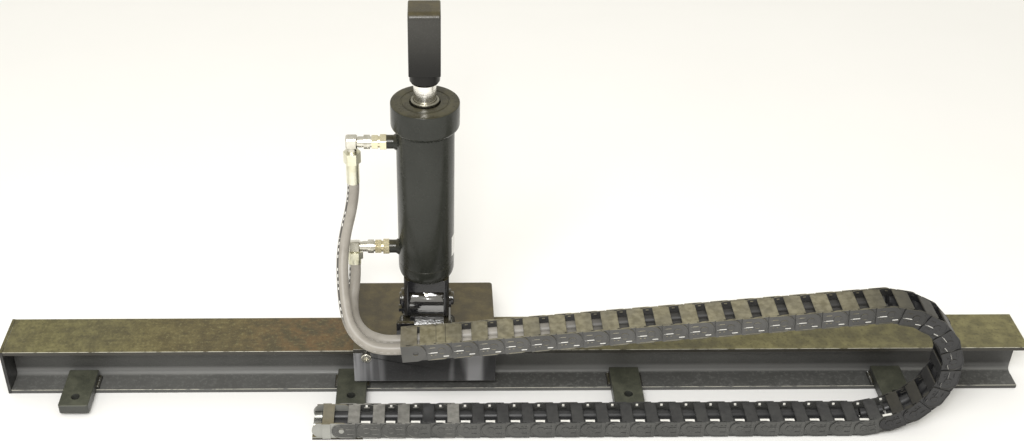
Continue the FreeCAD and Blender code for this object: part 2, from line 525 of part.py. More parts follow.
# ---------------------------------------------------------------- moving end beside the saddle arm
cheeks = []
for s in (-1, 1):
    lo, hi = sorted((s * (Y_MID + LAYER_GAP), s * Y_OUT))
    cheek = box(0, 26, lo, hi, -HALF_H, HALF_H).fuse(rod((0, lo, 0), (0, hi, 0), HALF_H))
    cheeks.append(cheek.cut(rod((0, lo - 1, 0), (0, hi + 1, 0), HINGE_HOLE_R)))
cheeks += [box(-4, 26, -Y_IN, Y_IN, -HALF_H, -HALF_H + 3), box(16, 26, -Y_OUT, Y_OUT, -HALF_H, -HALF_H + 3),
           box(16, 26, -Y_OUT, Y_OUT, HALF_H - 3, HALF_H)]
stud_y = (Y_OUT - 0.5, Y_OUT + 19.0)
cheeks += [rod((20, stud_y[0], 0), (20, stud_y[1], 0), 5.0),
           rod((20, stud_y[1] - 3, 0), (20, stud_y[1], 0), 9.0)]
bracket = place(fuse(cheeks), END_X, END_Z, UP_A)
export("chain_moving_bracket", bracket)

STUD_X, STUD_Z = END_X + 20 * ca, END_Z + 20 * sa
arm_y = (CHAIN_Y + Y_OUT + 6.0, CHAIN_Y + Y_OUT + 12.0)
ax0, ax1 = STUD_X - 16.0, STUD_X + 16.0
arm = fuse([box(ax0, ax1, -62.0, -56.0, PLATE_Z[1], 184.0),
            box(ax0, ax1, arm_y[0], -56.0, 178.0, 184.0),
            box(ax0, ax1, arm_y[0], arm_y[1], 178.0, STUD_Z + 20.0),
            box(ax0, ax1, -62.0, -40.0, PLATE_Z[1], PLATE_Z[1] + 6.0)])
slot = fuse([rod((STUD_X, arm_y[0] - 1, STUD_Z + dz), (STUD_X, arm_y[1] + 1, STUD_Z + dz), 5.5)
             for dz in (-10.0, 4.0)] +
            [box(STUD_X - 5.5, STUD_X + 5.5, arm_y[0] - 1, arm_y[1] + 1, STUD_Z - 10.0, STUD_Z + 4.0)])
export("saddle_chain_arm", arm.cut(slot))
print("stud", round(STUD_X, 2), round(STUD_Z, 2))
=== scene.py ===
"""Looks for the rail-mounted cylinder: hoses, cable chain, turned and welded pieces, materials, studio.

The frame, the camera and the materials work in metres. Shapes are written in millimetres and turned into
metres by MM.
"""
import math
import random

import bmesh
import bpy
from mathutils import Matrix, Vector


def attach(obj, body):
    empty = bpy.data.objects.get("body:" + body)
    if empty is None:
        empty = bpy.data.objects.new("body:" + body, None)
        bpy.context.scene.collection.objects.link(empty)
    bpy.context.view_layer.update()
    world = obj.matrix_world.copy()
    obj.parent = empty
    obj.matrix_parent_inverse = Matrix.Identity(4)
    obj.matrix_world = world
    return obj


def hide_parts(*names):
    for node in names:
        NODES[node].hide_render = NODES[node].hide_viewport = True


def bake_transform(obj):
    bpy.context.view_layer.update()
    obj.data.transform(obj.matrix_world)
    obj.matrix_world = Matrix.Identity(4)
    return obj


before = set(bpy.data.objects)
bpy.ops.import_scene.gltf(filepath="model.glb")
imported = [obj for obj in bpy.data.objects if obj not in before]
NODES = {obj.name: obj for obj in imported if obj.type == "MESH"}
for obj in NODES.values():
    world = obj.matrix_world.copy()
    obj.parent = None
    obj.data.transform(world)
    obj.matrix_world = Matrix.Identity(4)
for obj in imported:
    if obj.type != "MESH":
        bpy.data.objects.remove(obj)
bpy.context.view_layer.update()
MM = 0.001
scene = bpy.context.scene
scene.view_settings.view_transform = "Standard"

# ---------------------------------------------------------------- camera
CAMERA_SPOT = (0.013, -1.958, 1.731)
CAMERA_SENSOR, CAMERA_LENS, CAMERA_SHIFT = 36.0, 45.32, 0.0742
CAMERA_TURN, CAMERA_TILT, CAMERA_ROLL = (math.radians(a) for a in (-0.16, 55.31, -0.2))

cam_data = bpy.data.cameras.new("camera")
cam_data.sensor_width, cam_data.lens, cam_data.shift_x = CAMERA_SENSOR, CAMERA_LENS, CAMERA_SHIFT
camera = bpy.data.objects.new("camera", cam_data)
camera.location = CAMERA_SPOT
camera.rotation_euler = (Matrix.Rotation(CAMERA_TURN, 3, "Z") @ Matrix.Rotation(CAMERA_TILT, 3, "X")
                         @ Matrix.Rotation(CAMERA_ROLL, 3, "Z")).to_euler()
scene.collection.objects.link(camera)
scene.camera = camera


# ================================================================ material helper
class Shade:
    """A Principled material with short calls for its procedural nodes."""

    def __init__(self, name, **fixed):
        self.m = bpy.data.materials.new(name)
        self.m.use_nodes = True
        self.t = self.m.node_tree
        self.t.nodes.clear()
        self.out = self.t.nodes.new("ShaderNodeOutputMaterial")
        self.p = self.t.nodes.new("ShaderNodeBsdfPrincipled")
        self.t.links.new(self.p.outputs[0], self.out.inputs[0])
        self.c = self.t.nodes.new("ShaderNodeTexCoord")
        for k, v in fixed.items():
            self.p.inputs[k.replace("_", " ")].default_value = v

    def put(self, socket, value):
        """Link a socket, or set its own value; a colour gets its alpha here."""
        if isinstance(value, bpy.types.NodeSocket):
            self.t.links.new(value, socket)
        else:
            if isinstance(value, tuple) and len(value) == 3 and len(socket.default_value) == 4:
                value = value + (1.0,)
            socket.default_value = value

    def set(self, name, value):
        self.put(self.p.inputs[name], value)

    def scaled(self, scale):
        """Object coordinates stretched along each axis."""
        n = self.t.nodes.new("ShaderNodeMapping")
        n.inputs["Scale"].default_value = scale
        self.t.links.new(self.c.outputs["Object"], n.inputs["Vector"])
        return n.outputs[0]

    def noise(self, scale, detail=3.0, rough=0.55, at=None):
        n = self.t.nodes.new("ShaderNodeTexNoise")
        n.inputs["Scale"].default_value = scale
        n.inputs["Detail"].default_value = detail
        n.inputs["Roughness"].default_value = rough
        self.t.links.new(at or self.c.outputs["Object"], n.inputs["Vector"])
        return n.outputs["Fac"]

    def calc(self, op, a, b=0.0):
        n = self.t.nodes.new("ShaderNodeMath")
        n.operation = op
        self.put(n.inputs[0], a)
        self.put(n.inputs[1], b)
        return n.outputs[0]

    def plus(self, a, b):
        return self.calc("ADD", a, b)

    def times(self, a, b):
        return self.calc("MULTIPLY", a, b)

    def span(self, x, a, b, lo=0.0, hi=1.0):
        """Goes smoothly from lo to hi as x goes from a to b."""
        n = self.t.nodes.new("ShaderNodeMapRange")
        n.interpolation_type = "SMOOTHSTEP"
        for s, v in zip(n.inputs, (x, a, b, lo, hi)):
            self.put(s, v)
        return n.outputs[0]

    def band(self, x, a, b, c, d, hi=1.0):
        """Rises from a to b and falls back to nothing from c to d."""
        return self.times(self.span(x, a, b), self.span(x, c, d, hi, 0.0))

    def mix(self, f, a, b):
        n = self.t.nodes.new("ShaderNodeMix")
        n.data_type = "RGBA"
        self.put(n.inputs[0], f)
        self.put(n.inputs[6], a)
        self.put(n.inputs[7], b)
        return n.outputs[2]

    def axis(self, output, which):
        n = self.t.nodes.new("ShaderNodeSeparateXYZ")
        self.t.links.new(self.c.outputs[output], n.inputs[0])
        return n.outputs[which]

    def bump(self, height, strength, distance):
        n = self.t.nodes.new("ShaderNodeBump")
        n.inputs["Strength"].default_value = strength
        n.inputs["Distance"].default_value = distance
        self.t.links.new(height, n.inputs["Height"])
        return n.outputs[0]


def tinted(colour, gain, lift=0.0):
    return tuple(v * gain + lift for v in colour)


# ================================================================ paints
def rail_film(s, up, mid, film):
    """Up-face film of the rail, dust plus painted warm sheen: olive towards both ends, rusty left of the
    saddle, trodden grey near the floor.
    """
    x, z = s.axis("Object", 0), s.axis("Object", 2)
    blotch = s.span(mid, 0.35, 0.68)
    olive = s.mix(blotch, (0.088, 0.077, 0.023), (0.150, 0.136, 0.052))
    pale_olive = s.mix(blotch, (0.150, 0.132, 0.045), (0.235, 0.212, 0.090))
    ends = s.calc("MAXIMUM", s.span(x, 0.05, 0.45), s.span(x, -0.72, -0.42, 0.85, 0.0))
    film = s.mix(ends, film, olive)
    film = s.mix(s.span(x, 0.25, 0.60, 0.0, 0.75), film, pale_olive)
    rust = s.times(s.band(x, -0.42, -0.22, -0.06, 0.04, 0.75), s.span(mid, 0.36, 0.62))
    film = s.mix(rust, film, (0.135, 0.072, 0.024))
    speck = s.noise(150.0, 3.0, 0.7)
    film = s.mix(s.span(speck, 0.53, 0.70, 0.0, 0.65), film, (0.190, 0.172, 0.075))
    film = s.mix(s.span(speck, 0.34, 0.46, 0.5, 0.0), film, (0.045, 0.038, 0.014))
    trodden = s.mix(s.span(x, -0.45, 0.30), (0.112, 0.112, 0.105), (0.078, 0.078, 0.073))
    trodden = s.mix(s.span(speck, 0.50, 0.66, 0.0, 0.55), trodden, (0.200, 0.200, 0.190))
    # part-upright faces near the floor, the web-foot fillet, get a painted pale band of reflected light
    grey = s.mix(s.span(up, 0.7, 0.98), (0.17, 0.17, 0.162), trodden)
    grey = s.mix(s.span(mid, 0.35, 0.7, 0.0, 0.3), grey, (0.12, 0.12, 0.113))
    return s.mix(s.span(z, 0.03, 0.07), grey, film)


def rail_coat(s, tint):
    """The rail's paint: darker towards its ends, a painted reflection lightening the foot of the web, dark
    under the top flange, painted shade on the end plate.
    """
    x, z = s.axis("Object", 0), s.axis("Object", 2)
    tint = s.mix(s.span(x, 0.35, 1.05, 0.0, 0.75), tint, (0.024, 0.023, 0.022))
    tint = s.mix(s.span(x, -0.70, 0.10, 0.45, 0.0), tint, (0.032, 0.032, 0.031))
    # painted reflection of the bottom flange lightening the foot of the web
    web_foot_glow = s.times(s.band(z, 0.009, 0.013, 0.020, 0.030), s.span(x, 0.35, 1.05, 0.85, 0.35))
    tint = s.mix(web_foot_glow, tint, (0.20, 0.20, 0.195))
    tint = s.mix(s.span(z, 0.0958, 0.0972, 0.0, 0.85), tint, (0.018, 0.015, 0.009))
    # painted shade on the end plate
    return s.mix(s.span(x, -0.8215, -0.8205, 0.85, 0.0), tint, (0.010, 0.010, 0.009))


def rail_edge_highlight(s, up, mid):
    """Painted highlights along the upper edges of the two flanges, broken into patches."""
    z = s.axis("Object", 2)
    flange_top = s.calc("MAXIMUM", s.span(z, 0.1035, 0.1042), s.span(z, 0.0087, 0.0089, 1.0, 0.0))
    return s.times(s.times(s.band(up, 0.30, 0.50, 0.86, 0.97), flange_top), s.span(mid, 0.36, 0.52))


def streak_reflections(s, tint, strength):
    """Painted upright streaks of reflected light, closer together near the left end."""
    wide = s.noise(1.0, 2.0, 0.5, s.scaled((17.0, 1.0, 2.2)))
    tint = s.mix(s.span(wide, 0.54, 0.68, 0.0, strength), tint, (0.30, 0.30, 0.31))
    narrow = s.noise(1.0, 2.0, 0.5, s.scaled((55.0, 1.0, 3.0)))
    left = s.band(s.axis("Object", 0), -0.165, -0.150, -0.100, -0.075)
    return s.mix(s.times(left, s.span(narrow, 0.40, 0.62, 0.25, strength)), tint, (0.24, 0.24, 0.25))


def enamel(name, coat, film, film_hi, gloss, film_gloss, peel=0.12, amount=1.0, grain=0.0, spec=0.5,
           lacquer=0.0, rail=False, streaks=0.0, fall=None):
    """Gloss paint over steel; what faces up carries a thin brownish film: dust and oil plus a painted warm
    sheen.

    coat, film, film_hi: colours. gloss, film_gloss: roughness of paint and film. peel, grain: coarse and
    fine unevenness. amount: how much film. lacquer: weight of a clear top coat. rail: the rail's own film,
    coat and painted edge highlights. streaks: strength of painted upright reflection streaks. fall: darker
    below the first height, full colour above the second.
    """
    s = Shade(name, Specular_IOR_Level=spec, Coat_Weight=lacquer, Coat_Roughness=0.05, Coat_IOR=2.0)
    up = s.axis("Normal", 2)
    broad, mid, fine = s.noise(5.0, 4.0), s.noise(38.0, 5.0, 0.6), s.noise(420.0, 2.0)
    patch = s.span(s.plus(s.times(broad, 0.6), s.times(mid, 0.4)), 0.30, 0.68, 0.55, 1.0)
    # the film on up-facing faces is dust plus a painted sheen that stands in for warm light from above
    cover = s.times(s.times(s.span(up, 0.25, 0.9), patch), amount)
    tone = s.mix(s.span(mid, 0.35, 0.68), film, film_hi)
    tone = s.mix(s.span(fine, 0.56, 0.75, 0.0, 0.35), tone, tinted(film_hi, 1.7))
    tint = s.mix(s.span(broad, 0.35, 0.7), coat, tinted(coat, 1.4, 0.003))
    tint = s.mix(s.span(fine, 0.5, 0.8, 0.0, 0.5), tint, tinted(coat, 2.0, 0.006))
    if rail:
        tone = rail_film(s, up, mid, tone)
        tint = rail_coat(s, tint)
    if streaks:
        # painted reflection streaks on upright faces
        tint = streak_reflections(s, tint, streaks)
    if fall:
        tint = s.mix(s.span(s.axis("Object", 2), fall[0], fall[1]), tinted(coat, 0.25), tint)
    colour = s.mix(cover, tint, tone)
    if rail:
        # painted highlight on the flanges' upper edges
        colour = s.mix(rail_edge_highlight(s, up, mid), colour, (0.52, 0.50, 0.42))
    s.set("Base Color", colour)
    rough = s.span(mid, 0.2, 0.8, gloss * 0.8, gloss * 1.3)
    s.set("Roughness", s.plus(rough, s.times(cover, film_gloss - gloss)))
    height = s.plus(s.noise(170.0, 2.0), s.times(s.noise(900.0, 2.0), grain))
    s.set("Normal", s.bump(height, peel, 0.0012))
    return s.m


BROWN_FILM = ((0.050, 0.040, 0.018), (0.080, 0.068, 0.034))
MAT = {
    "rail": enamel("rail_paint", (0.072, 0.072, 0.068), (0.070, 0.052, 0.015), (0.112, 0.090, 0.034),
                   gloss=0.36, film_gloss=0.52, peel=0.30, grain=0.5, rail=True),
    "plate": enamel("plate_paint", (0.022, 0.021, 0.018), (0.056, 0.041, 0.013), (0.092, 0.072, 0.029),
                    gloss=0.26, film_gloss=0.42, peel=0.15),
    "clip": enamel("clip_paint", (0.030, 0.031, 0.027), (0.056, 0.059, 0.041), (0.084, 0.086, 0.060),
                   gloss=0.38, film_gloss=0.5, peel=0.4, grain=0.6),
    "gloss": enamel("gloss_paint", (0.011, 0.011, 0.012), *BROWN_FILM,
                    gloss=0.13, film_gloss=0.28, peel=0.10, amount=0.8),
    "skirt": enamel("skirt_paint", (0.030, 0.030, 0.031), *BROWN_FILM,
                    gloss=0.20, film_gloss=0.30, peel=0.10, amount=0.8, streaks=0.8),
    "lug": enamel("lug_paint", (0.012, 0.012, 0.013), (0.050, 0.042, 0.022), (0.075, 0.064, 0.036),
                  gloss=0.10, film_gloss=0.16, peel=0.22, amount=0.6, spec=1.0, lacquer=1.0),
    "body": enamel("cylinder_paint", (0.016, 0.017, 0.014), (0.034, 0.029, 0.013), (0.062, 0.055, 0.027),
                   gloss=0.24, film_gloss=0.28, peel=0.14, amount=0.9, spec=0.28),
    "end": enamel("rod_end_paint", (0.030, 0.029, 0.026), (0.050, 0.040, 0.016), (0.085, 0.070, 0.032),
                  gloss=0.26, film_gloss=0.34, peel=0.14, amount=0.9, spec=0.22, fall=(0.69, 0.80)),
    "weld": enamel("weld_paint", (0.016, 0.016, 0.015), (0.030, 0.026, 0.014), (0.05, 0.045, 0.025),
                   gloss=0.16, film_gloss=0.25, peel=0.3),
}


# ================================================================ metals
def metal(name, base, dark, rough, lines=(300.0, 300.0, 300.0), strength=0.12):
    """Bare or plated metal with fine marks; lines: how closely they lie along each axis."""
    s = Shade(name, Metallic=1.0)
    broad, fine = s.noise(30.0, 4.0), s.noise(1.0, 3.0, 0.6, s.scaled(lines))
    s.set("Base Color", s.mix(s.span(broad, 0.35, 0.7), base, dark))
    s.set("Roughness", s.span(fine, 0.2, 0.8, rough * 0.75, rough * 1.4))
    s.set("Normal", s.bump(fine, strength, 0.0004))
    return s.m


MAT["zinc"] = metal("bright_zinc", (0.68, 0.66, 0.59), (0.44, 0.42, 0.35), 0.24)
MAT["cream"] = metal("clear_zinc", (0.80, 0.79, 0.67), (0.68, 0.66, 0.50), 0.36)
MAT["gold"] = metal("yellow_zinc", (0.72, 0.67, 0.48), (0.54, 0.47, 0.29), 0.26)
MAT["machined"] = metal("machined_steel", (0.55, 0.54, 0.52), (0.42, 0.41, 0.39), 0.22)
MAT["chrome"] = metal("hard_chrome", (0.92, 0.90, 0.85), (0.78, 0.76, 0.70), 0.20,
                      lines=(30.0, 30.0, 900.0), strength=0.35)
MAT["wiper"] = metal("wiper_shell", (0.30, 0.29, 0.24), (0.20, 0.19, 0.15), 0.30)
MAT["tail"] = metal("tail_fitting", (0.30, 0.30, 0.28), (0.12, 0.12, 0.11), 0.35)
MAT["bronze"] = metal("bearing_bronze", (0.62, 0.44, 0.22), (0.48, 0.32, 0.15), 0.3)


# ================================================================ plastics, rubber and the label
def nylon(name, base, film, film_hi, rough, fade=None, painted_reflections=False):
    """Glass-filled nylon whose upper side carries dust and a painted warm sheen.

    fade: darkens it from the first X to the second, by the third value. The last flag paints pale
    reflections on the left end and on one lid near the saddle.
    """
    s = Shade(name, Specular_IOR_Level=0.45)
    up, x = s.axis("Normal", 2), s.axis("Object", 0)
    broad, mid, fine = s.noise(14.0, 4.0), s.noise(90.0, 4.0), s.noise(900.0, 2.0)
    # the up-facing film is dust plus a painted sheen that stands in for warm light from above
    cover = s.times(s.span(up, 0.2, 0.85), s.span(broad, 0.3, 0.62, 0.6, 1.0))
    grain = s.span(mid, 0.3, 0.7)
    tone = s.mix(grain, film, film_hi)
    if painted_reflections:
        # painted pale reflections on the left end's bars and on one lid near the saddle
        reflecting_lid = s.span(s.calc("ABSOLUTE", s.calc("SUBTRACT", x, 0.0495)), 0.014, 0.022, 0.9, 0.0)
        reflection_mask = s.calc("MAXIMUM", s.span(x, -0.03, -0.01, 1.0, 0.0), reflecting_lid)
        tone = s.mix(reflection_mask, tone, s.mix(grain, (0.17, 0.165, 0.15), (0.27, 0.262, 0.24)))
    flow = s.mix(s.span(broad, 0.3, 0.7), base, tinted(base, 1.45))
    flow = s.mix(s.span(fine, 0.55, 0.8, 0.0, 0.4), flow, tinted(base, 2.2))
    colour = s.mix(cover, flow, tone)
    if fade:
        colour = s.mix(s.span(x, fade[0], fade[1], 0.0, fade[2]), colour, (0.006, 0.006, 0.006))
    s.set("Base Color", colour)
    s.set("Roughness", s.plus(s.span(mid, 0.2, 0.8, rough * 0.8, rough * 1.2), s.times(cover, 0.1)))
    s.set("Normal", s.bump(s.plus(fine, mid), 0.10, 0.0006))
    return s.m


MAT["chain_up"] = nylon("nylon_upper", (0.048, 0.047, 0.045), (0.118, 0.104, 0.060), (0.212, 0.192, 0.126),
                        rough=0.36, fade=(0.66, 0.90, 0.80))
# the bend: a darker copy of the chain nylon, painted shade inside the loop
MAT["chain_bend"] = nylon("nylon_bend_painted_shade", (0.014, 0.014, 0.015), (0.024, 0.022, 0.016), (0.038, 0.035, 0.026),
                          rough=0.40)
# lower run: its dark up-face film is painted shade under the upper run
MAT["chain_low"] = nylon("nylon_lower_painted_shade", (0.048, 0.048, 0.045), (0.022, 0.022, 0.023), (0.040, 0.040, 0.040),
                         rough=0.30, painted_reflections=True)
MAT["bracket"] = nylon("nylon_end", (0.20, 0.20, 0.185), (0.10, 0.082, 0.040), (0.16, 0.135, 0.075),
                       rough=0.36)
MAT["end_lid"] = nylon("nylon_moving_end", (0.052, 0.051, 0.048), (0.105, 0.092, 0.058),
                       (0.165, 0.148, 0.105), rough=0.36)
# pale nylon on the ledges' undercut faces: a painted highlight
MAT["ledge"] = nylon("nylon_painted_ledge_highlight", (0.42, 0.41, 0.38), (0.50, 0.49, 0.46), (0.62, 0.61, 0.58),
                     rough=0.28)
# stop lugs: a real part, their pale colour a painted glint
MAT["stop"] = nylon("nylon_stop_painted_glint", (0.62, 0.61, 0.56), (0.72, 0.71, 0.67), (0.85, 0.84, 0.80), rough=0.30)


def rubber(name, base, pale, rough, layline=False, fade=None):
    """Hose cover or seal: wrapped-cloth grain and a chalky bloom.

    layline: a dark line with pale dashes along the hose, worn off below. fade: as for nylon.
    """
    s = Shade(name, Specular_IOR_Level=0.4)
    mid, fine = s.noise(26.0, 5.0, 0.6), s.noise(1400.0, 2.0)
    colour = s.mix(s.span(mid, 0.3, 0.7), base, pale)
    colour = s.mix(s.span(fine, 0.55, 0.8, 0.0, 0.3), colour, tinted(pale, 1.25))
    if fade:
        x = s.axis("Object", 0)
        colour = s.mix(s.span(x, fade[0], fade[1], 0.0, fade[2]), colour, (0.008, 0.008, 0.008))
    if layline:
        around, along = s.axis("UV", 0), s.axis("UV", 1)
        off = s.calc("ABSOLUTE", s.calc("SUBTRACT", around, 0.5))
        kept = s.span(s.axis("Object", 2), 0.232, 0.262, 0.12, 1.0)
        line = s.times(s.span(off, 0.030, 0.042, 1.0, 0.0), kept)
        core = s.times(s.span(off, 0.012, 0.020, 1.0, 0.0), kept)
        short = s.calc("LESS_THAN", s.calc("FRACT", s.times(along, 83.0)), 0.48)
        group = s.calc("LESS_THAN", s.calc("FRACT", s.times(along, 17.7)), 0.7)
        colour = s.mix(s.times(line, 0.85), colour, (0.03, 0.03, 0.03))
        colour = s.mix(s.times(core, s.times(short, group)), colour, (0.85, 0.84, 0.80))
    s.set("Base Color", colour)
    s.set("Roughness", s.span(mid, 0.2, 0.8, rough * 0.85, rough * 1.15))
    s.set("Normal", s.bump(s.plus(fine, s.times(mid, 2.0)), 0.12, 0.0005))
    return s.m


MAT["hose"] = rubber("hose_cover", (0.225, 0.206, 0.180), (0.290, 0.270, 0.238), 0.42, layline=True)
# hoses in the upper run: the fade darkens them from X 0.10 to 0.40 as painted shade inside the chain
MAT["hose_in"] = rubber("hose_in_chain", (0.24, 0.225, 0.20), (0.32, 0.30, 0.265), 0.45,
                        fade=(0.10, 0.40, 0.93))
# hoses inside the lower run, the bend and the turns: a near-black copy of the hose, painted shade
MAT["hose_shaded"] = rubber("hose_shaded_in_lower_run", (0.018, 0.018, 0.019), (0.032, 0.032, 0.033), 0.40)
MAT["seal"] = rubber("seal_rubber", (0.012, 0.012, 0.012), (0.022, 0.021, 0.020), 0.5)
MAT["pad"] = nylon("wear_plastic", (0.45, 0.42, 0.33), (0.40, 0.37, 0.28), (0.52, 0.49, 0.40), rough=0.45)


def film_label():
    """White label film with faint plain rules between two heights."""
    s = Shade("label_film", Roughness=0.3)
    z = s.axis("Object", 2)
    rule = s.calc("LESS_THAN", s.calc("FRACT", s.times(z, 160.0)), 0.3)
    inside = s.band(z, 0.313, 0.3135, 0.3485, 0.349)
    s.set("Base Color", s.mix(s.times(rule, s.times(inside, 0.4)), (0.80, 0.80, 0.77), (0.30, 0.30, 0.30)))
    s.set("Normal", s.bump(s.noise(500.0), 0.05, 0.0003))
    return s.m


MAT["label"] = film_label()


# ================================================================ mesh helpers
SHARP, PIECE_BEVEL_ANGLE, CAD_BEVEL_ANGLE = 40.0, 35.0, 40.0


def soften(o, width, angle):
    """Small bevel on edges sharper than angle."""
    b = o.modifiers.new("edge", "BEVEL")
    b.width, b.segments, b.limit_method, b.angle_limit = width, 2, "ANGLE", math.radians(angle)
    b.harden_normals = True


def add_object(name, bm, mat, body, replaced=(), smooth=SHARP, bevel=0.0):
    bmesh.ops.recalc_face_normals(bm, faces=bm.faces[:])
    mesh = bpy.data.meshes.new(name)
    bm.to_mesh(mesh)
    bm.free()
    o = bpy.data.objects.new(name, mesh)
    scene.collection.objects.link(o)
    for m in (mat if isinstance(mat, (list, tuple)) else [mat]):
        mesh.materials.append(m)
    for p in mesh.polygons:
        p.use_smooth = True
    mesh.set_sharp_from_angle(angle=math.radians(smooth))
    if bevel:
        soften(o, bevel, PIECE_BEVEL_ANGLE)
    if body:
        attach(o, body)
    if replaced:
        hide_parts(*replaced)
    return o


def lathe(bm, outline, segments=128):
    """Turn an open or closed (r, z) outline in mm about the Z axis."""
    rings = []
    for r, z in outline:
        if r < 1e-6:
            rings.append([bm.verts.new((0, 0, z * MM))])
        else:
            angles = [2 * math.pi * k / segments for k in range(segments)]
            rings.append([bm.verts.new((r * MM * math.cos(a), r * MM * math.sin(a), z * MM)) for a in angles])
    for a, b in zip(rings, rings[1:]):
        for k in range(segments):
            j = (k + 1) % segments
            face = [a[k % len(a)], a[j % len(a)], b[j % len(b)], b[k % len(b)]]
            face = [v for i, v in enumerate(face) if v not in face[:i]]
            if len(face) > 2:
                bm.faces.new(face)


def rounded(outline, radius, steps=4):
    """Round the corners of an open (r, z) outline."""
    out = [outline[0]]
    for p, q, n in zip(outline, outline[1:], outline[2:]):
        p, q, n = Vector(p), Vector(q), Vector(n)
        r = min(radius, 0.45 * (p - q).length, 0.45 * (n - q).length)
        a, b = q + (p - q).normalized() * r, q + (n - q).normalized() * r
        for i in range(steps + 1):
            t = i / steps
            out.append(tuple((1 - t) ** 2 * a + 2 * t * (1 - t) * q + t ** 2 * b))
    out.append(outline[-1])
    return out


def frames_along(points):
    """Tangents and turning-free side vectors along a line of points."""
    n = len(points)
    tangents = [(points[min(i + 1, n - 1)] - points[max(i - 1, 0)]).normalized() for i in range(n)]
    side = Vector((-1, 0, 0))
    sides = []
    for t in tangents:
        side = (side - t * side.dot(t)).normalized()
        sides.append(side.copy())
    return tangents, sides


def tube(bm, points, radius_at, around, start_angle=0.0):
    """Skin a closed tube on a line of points, with UVs: u round it, v in metres along it."""
    uv = bm.loops.layers.uv.verify()
    tangents, sides = frames_along(points)
    rings, dist, run = [], [], 0.0
    for i, p in enumerate(points):
        if i:
            run += (p - points[i - 1]).length
        dist.append(run)
        up = tangents[i].cross(sides[i])
        ring = []
        for k in range(around):
            a = 2 * math.pi * k / around + start_angle
            ring.append(bm.verts.new(p + (sides[i] * math.cos(a) + up * math.sin(a)) * radius_at(run, a)))
        rings.append(ring)
    for i, (a, b) in enumerate(zip(rings, rings[1:])):
        for k in range(around):
            j = (k + 1) % around
            f = bm.faces.new((a[k], a[j], b[j], b[k]))
            for loop, (cu, cv) in zip(f.loops, ((k, i), (k + 1, i), (k + 1, i + 1), (k, i + 1))):
                loop[uv].uv = (cu / around, dist[cv])
    bm.faces.new(rings[0][::-1])
    bm.faces.new(rings[-1])


RIPPLE, RIPPLE_DEPTH = 0.0032, 0.13               # metres from ripple to ripple, part of the bead's radius
WOBBLE_STEP, WOBBLE_COUNT, WOBBLE_DEPTH = 0.004, 400, 0.16


def bead(bm, points, radius, seed):
    """A rippled weld bead of uneven thickness."""
    rng = random.Random(seed)
    phase = rng.random() * 6.28
    wobble = [rng.uniform(-0.5, 0.5) for _ in range(WOBBLE_COUNT)]

    def radius_at(s, a):
        i = int(s / WOBBLE_STEP) % (WOBBLE_COUNT - 1)
        f = s / WOBBLE_STEP - int(s / WOBBLE_STEP)
        ripple = math.sin(2 * math.pi * s / RIPPLE + phase + 0.7 * math.cos(a))
        swell = wobble[i] * (1 - f) + wobble[i + 1] * f
        return radius * (1.0 + RIPPLE_DEPTH * ripple + WOBBLE_DEPTH * swell)
    tube(bm, points, radius_at, 12)


def path(corners, step=0.0008):
    """Even points along straight runs between corners given in mm."""
    pts = [Vector(c) * MM for c in corners]
    out = []
    for a, b in zip(pts, pts[1:]):
        n = max(1, int((b - a).length / step))
        out += [a.lerp(b, i / n) for i in range(n)]
    return out + [pts[-1]]


def round_path(cx, cy, z, hx, hy, r):
    """A closed path round a rectangle of half sizes hx and hy, with corners of radius r."""
    pts = []
    for qx, qy, a0 in ((1, 1, 0), (-1, 1, 90), (-1, -1, 180), (1, -1, 270)):
        for k in range(9):
            a = math.radians(a0 + k * 11.25)
            pts.append((cx + qx * (hx - r) + r * math.cos(a), cy + qy * (hy - r) + r * math.sin(a), z))
    return path(pts + [pts[0]])


# ================================================================ free hose loops
END_X, END_Z, UP_ANGLE = -19.343, 211.844, math.radians(185.62)     # last hinge of the upper run, its heading
HOSE_Y = (-167.5, -144.5)
ENTRY = 24.0                                      # from that hinge to the hoses' mouths in the bracket
HOSE_R = 11.0 * MM
LAYLINE_TURN = math.radians(146)                  # turns the printed line to the outer side of the loops
# for each loop: its route from the ferrule, the Y of its mouth and its straight run before the mouth
ROUTES = {
    "hose_loop_upper": ([(-131, 0, 461.5), (-131, 0, 427), (-154.5, -25, 341), (-154, -82, 286.5),
                         (-144, -129.5, 238.5), (-120, -153.5, 216)], HOSE_Y[0], 40.5),
    "hose_loop_lower": ([(-134, -12.512, 287.032), (-134, -22.949, 261.2), (-140, -50, 228),
                         (-135, -89, 210), (-112.7, -121.7, 204.4), (-85, -138.7, 205.5)], HOSE_Y[1], 20.5),
}


def spline_points(name, control):
    """Points along the NURBS line that the given control points make."""
    curve = bpy.data.curves.new(name + "_line", "CURVE")
    curve.dimensions = "3D"
    s = curve.splines.new("NURBS")
    s.points.add(len(control) - 1)
    for p, c in zip(s.points, control):
        p.co = (*(Vector(c) * MM), 1.0)
    s.order_u = 3
    s.use_endpoint_u = True
    s.resolution_u = 24
    o = bpy.data.objects.new(name + "_line", curve)
    scene.collection.objects.link(o)
    bpy.context.view_layer.update()
    mesh = bpy.data.meshes.new_from_object(o)
    pts = [v.co.copy() for v in mesh.vertices]
    bpy.data.objects.remove(o)
    bpy.data.meshes.remove(mesh)
    return pts


for hose_name, (route, hose_y, last_run) in ROUTES.items():
    mouth = [(END_X + s * math.cos(UP_ANGLE), hose_y, END_Z + s * math.sin(UP_ANGLE))
             for s in (ENTRY + last_run, ENTRY)]
    line = spline_points(hose_name, route + mouth)
    bm = bmesh.new()
    tube(bm, line, lambda s, a: HOSE_R, 40, LAYLINE_TURN)
    piece = add_object(hose_name + "_tube", bm, MAT["hose"], None, [hose_name])
    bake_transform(piece)

